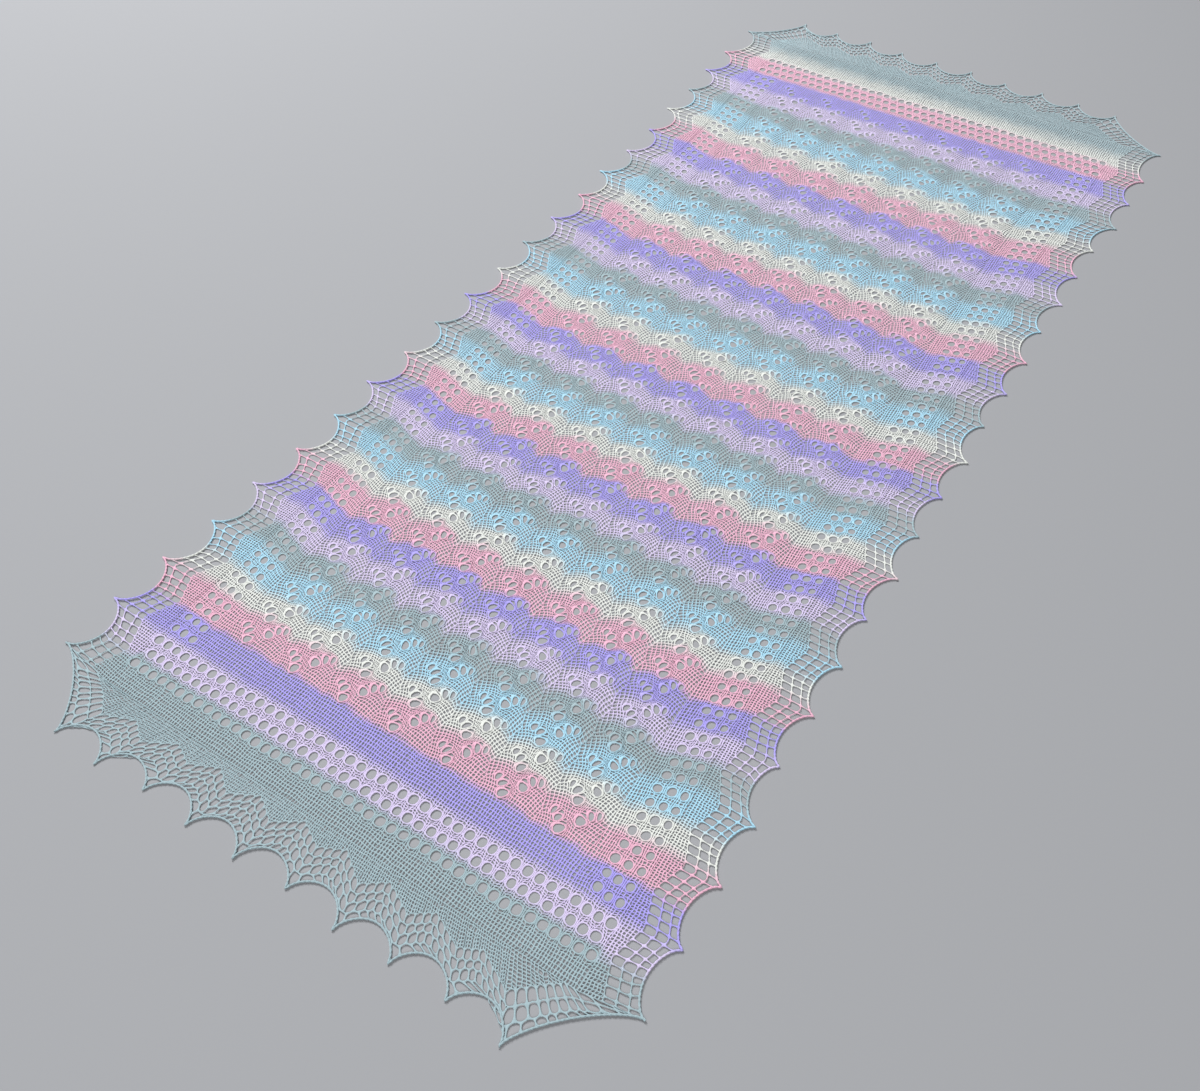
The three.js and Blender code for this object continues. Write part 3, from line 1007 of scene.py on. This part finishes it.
class Finish:
    """A material and the nodes in it."""

    def __init__(self, name):
        self.material = bpy.data.materials.new(name)
        self.material.use_nodes = True
        self.tree = self.material.node_tree
        self.tree.nodes.clear()

    def node(self, kind, settings=None, sockets=None, out=0):
        """Adds a node: its type, its settings, the values or links of its sockets, and the output wanted."""
        made = self.tree.nodes.new(kind)
        for key, value in (settings or {}).items():
            if key == "stops":
                self.set_stops(made.color_ramp, value)
            else:
                setattr(made, key, value)
        for key, value in (sockets or {}).items():
            if isinstance(value, Shade):
                self.tree.links.new(value.socket, made.inputs[key])
            else:
                made.inputs[key].default_value = value
        return Shade(self, made.outputs[out]) if made.outputs else None

    def set_stops(self, ramp, stops):
        for n, (place, colour) in enumerate(stops):
            element = ramp.elements[n] if n < len(ramp.elements) else ramp.elements.new(place)
            element.position = place
            element.color = (*colour, 1)


def dye_stops():
    """Stops of one turn of the dyes, from the middle of a pink stripe to the next."""
    pink, *others = DYES.values()
    stops = [(0.0, pink["colour"]), (pink["to"], pink["colour"])]
    for dye in others:
        stops += [(dye["from"], dye["colour"]), (dye["to"], dye["colour"])]
    return [*stops, (1 + pink["from"], pink["colour"]), (1.0, pink["colour"])]


TWIST_LENGTH = 0.0017  # length of yarn in which its plies turn once
TWIST_LEAN = 2.4  # radians of that turn from the yarn's ridge to its side
TWIST_HEIGHT = 0.5
PATCHY_DYE = 0.05  # range over which patches move a place in the order of dyes
PATCHY_FADE = 0.02  # range over which they move the fade at the far end
# Tone of the colour: the fibres' own random tone, plus painted shade along the plies' twist and down the
# yarn's sides to its rims
TONE_AND_PAINTED_SHADE = {"base": 0.84, "fibres": 0.22, "twist": 0.05, "side": 0.1}


def wool_finish():
    """Fine soft wool, dyed in stripes, with the twist of its plies, painted shade down the yarn's sides and
    along the grooves of its twist, and a slight halo.
    """
    wool = Finish("striped_lace_wool")
    place = wool.node("ShaderNodeTexCoord", out="Object")
    patches = wool.node("ShaderNodeTexNoise", sockets={"Vector": place, "Scale": 60.0, "Detail": 3.0})
    fibres = wool.node("ShaderNodeTexNoise", sockets={"Vector": place, "Scale": 900.0, "Detail": 2.0})
    dye = wool.node("ShaderNodeAttribute", {"attribute_name": "dye"}, out="Fac")
    # side, the place across the yarn, sets the painted shade below and the lean of the twist
    side = wool.node("ShaderNodeAttribute", {"attribute_name": "side"}, out="Fac")
    turn = (dye + (patches - 0.5) * PATCHY_DYE + 1.0).part()
    colour = wool.node("ShaderNodeValToRGB", {"stops": dye_stops()}, {"Fac": turn})
    x = wool.node("ShaderNodeSeparateXYZ", sockets={0: place}, out="X")
    y = wool.node("ShaderNodeSeparateXYZ", sockets={0: place}, out="Y")
    start, end = [(BODY_START_Y + row * ROW) * MM + SHIFT_Y for row in FAR_FADE_ROWS]
    along_fade = {"Value": y + (patches - 0.5) * PATCHY_FADE, "From Min": start, "From Max": end}
    fade = wool.node("ShaderNodeMapRange", {"interpolation_type": "SMOOTHSTEP"}, along_fade)
    faded = {0: fade, 6: colour, 7: (*GREY_TEAL["colour"], 1)}  # the numbers are those of a mix of colours
    colour = wool.node("ShaderNodeMix", {"data_type": "RGBA"}, faded, out=2)
    run = (x + y) * (2 * math.pi / TWIST_LENGTH) + side * TWIST_LEAN
    twist = wool.node("ShaderNodeMath", {"operation": "SINE"}, {0: run})
    # Painted shade: darker along the grooves of the plies' twist and down the yarn's sides, on top of the
    # fibres' random tone
    tone_and_painted_shade = TONE_AND_PAINTED_SHADE["base"] + TONE_AND_PAINTED_SHADE["fibres"] * fibres + TONE_AND_PAINTED_SHADE["twist"] * twist - TONE_AND_PAINTED_SHADE["side"] * side
    grey = wool.node("ShaderNodeCombineXYZ", sockets={"X": tone_and_painted_shade, "Y": tone_and_painted_shade, "Z": tone_and_painted_shade})
    colour = wool.node("ShaderNodeVectorMath", {"operation": "MULTIPLY"}, {0: colour, 1: grey})
    height = twist * TWIST_HEIGHT + fibres
    bump = wool.node("ShaderNodeBump", sockets={"Strength": 0.5, "Distance": 0.0003, "Height": height})
    settings = {
        "Base Color": colour,
        "Roughness": 0.85,
        "Specular IOR Level": 0.25,
        "Sheen Weight": 0.35,
        "Sheen Roughness": 0.5,
        "Normal": bump,
    }
    shader = wool.node("ShaderNodeBsdfPrincipled", sockets=settings)
    wool.node("ShaderNodeOutputMaterial", sockets={"Surface": shader})
    return wool.material


# Studio

CAMERA_PLACE = (0.4966, -1.0441, 1.0267)
CAMERA_FORWARD = (-0.34067, 0.52690, -0.77867)
CAMERA_ROLL = math.radians(-0.27)
CAMERA_LENS = 34.8
CAMERA_SENSOR = 36.0
CAMERA_CLIP = (0.05, 50.0)
LIGHTS = [
    {"name": "key_light", "place": (-3.4, 1.6, 4.0), "size": 2.2, "watts": 395},
    {"name": "fill_light", "place": (1.6, -3.2, 3.6), "size": 3.0, "watts": 135},
]
AIR = {"Color": (0.9, 0.95, 1.0, 1), "Strength": 0.13}
FLOOR_SIZE = 14.0
FLOOR_GREY = (0.305, 0.31, 0.325)


def photo_camera():
    data = bpy.data.cameras.new("photo_camera")
    data.lens = CAMERA_LENS
    data.sensor_width = CAMERA_SENSOR
    data.clip_start, data.clip_end = CAMERA_CLIP
    camera = bpy.data.objects.new("photo_camera", data)
    camera.location = CAMERA_PLACE
    camera.rotation_mode = "QUATERNION"
    aim = Vector(CAMERA_FORWARD).to_track_quat("-Z", "Y")
    camera.rotation_quaternion = aim @ Quaternion((0, 0, 1), CAMERA_ROLL)
    bpy.context.scene.collection.objects.link(camera)
    bpy.context.scene.camera = camera


def soft_light(name, place, size, watts):
    """Square light that faces the middle of the stole."""
    data = bpy.data.lights.new(name, "AREA")
    data.shape = "SQUARE"
    data.size = size
    data.energy = watts
    light = bpy.data.objects.new(name, data)
    light.location = place
    light.rotation_mode = "QUATERNION"
    light.rotation_quaternion = (-Vector(place)).to_track_quat("-Z", "Y")
    bpy.context.scene.collection.objects.link(light)


def studio():
    for light in LIGHTS:
        soft_light(**light)
    world = bpy.data.worlds.new("studio_air")
    world.use_nodes = True
    for key, value in AIR.items():
        world.node_tree.nodes["Background"].inputs[key].default_value = value
    bpy.context.scene.world = world
    paper = Finish("floor_paper")
    settings = {"Base Color": (*FLOOR_GREY, 1), "Roughness": 0.9}
    shader = paper.node("ShaderNodeBsdfPrincipled", sockets=settings)
    paper.node("ShaderNodeOutputMaterial", sockets={"Surface": shader})
    half = FLOOR_SIZE / 2
    corners = [(-half, -half, 0), (half, -half, 0), (half, half, 0), (-half, half, 0)]
    mesh = bpy.data.meshes.new("floor")
    mesh.from_pydata(corners, [], [(0, 1, 2, 3)])
    mesh.materials.append(paper.material)
    floor = bpy.data.objects.new("floor", mesh)
    bpy.context.scene.collection.objects.link(floor)


# The stole


def dress(piece, node, wool):
    piece.data.materials.append(wool)
    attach(piece, "root")
    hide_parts(node)


def make_body(wool):
    net, pieces = body_net()
    for name, part in pieces.items():
        piece = net_piece(name, net, net.kinds_in(name))
        dress(piece, part["node"], wool)
        wales = wale_x(part["wales"][1]) - wale_x(part["wales"][0])
        flat = wales * MM, (part["rows"][1] - part["rows"][0]) * ROW * MM


def side_dye(y):
    row = (y - BODY_START_Y) / ROW
    return dye_at(row - OUTER_RISE * bend_share(row) / ROW)


def end_dye(y):
    return EDGING_DYE + 0 * y


def edging_plans():
    """What each edging is made with, in the order in which they are made."""
    side = {"kind": "side mesh", "dye": side_dye, "slot": "side_edging"}
    end = {"kind": "end mesh", "dye": end_dye, "slot": "end_edging"}
    plans = {
        "left": {**side, "stops": stops_of_side(-1), "depth": LEFT_DEPTH},
        "right": {**side, "stops": stops_of_side(1), "depth": RIGHT_DEPTH},
        "near": {**end, "stops": stops_of_end(-1), "depth": END_DEPTH},
        "far": {**end, "stops": stops_of_end(1), "depth": END_DEPTH},
    }
    for place, plan in plans.items():
        plan["strands"] = EDGING_STRANDS.get(place, EDGING_STRANDS["end"])
    return plans


def make_edgings(wool):
    for place, edging in edging_plans().items():
        name = place + "_edging"
        node = "edging_" + place
        net, path = edging_net(name, edging)
        piece = net_piece(name + "_mesh", net, net.kinds_in(name))
        cord = edge_cord(name + "_cord", path, edging["dye"])
        for part in (piece, cord):
            dress(part, node, wool)
        depth = edging["strands"][-1]["midway"] * MM * MEAN_DEPTH
        covered = covered_area([piece, cord])


bpy.context.scene.view_settings.view_transform = "Standard"
photo_camera()
studio()
striped_wool = wool_finish()
make_body(striped_wool)
make_edgings(striped_wool)
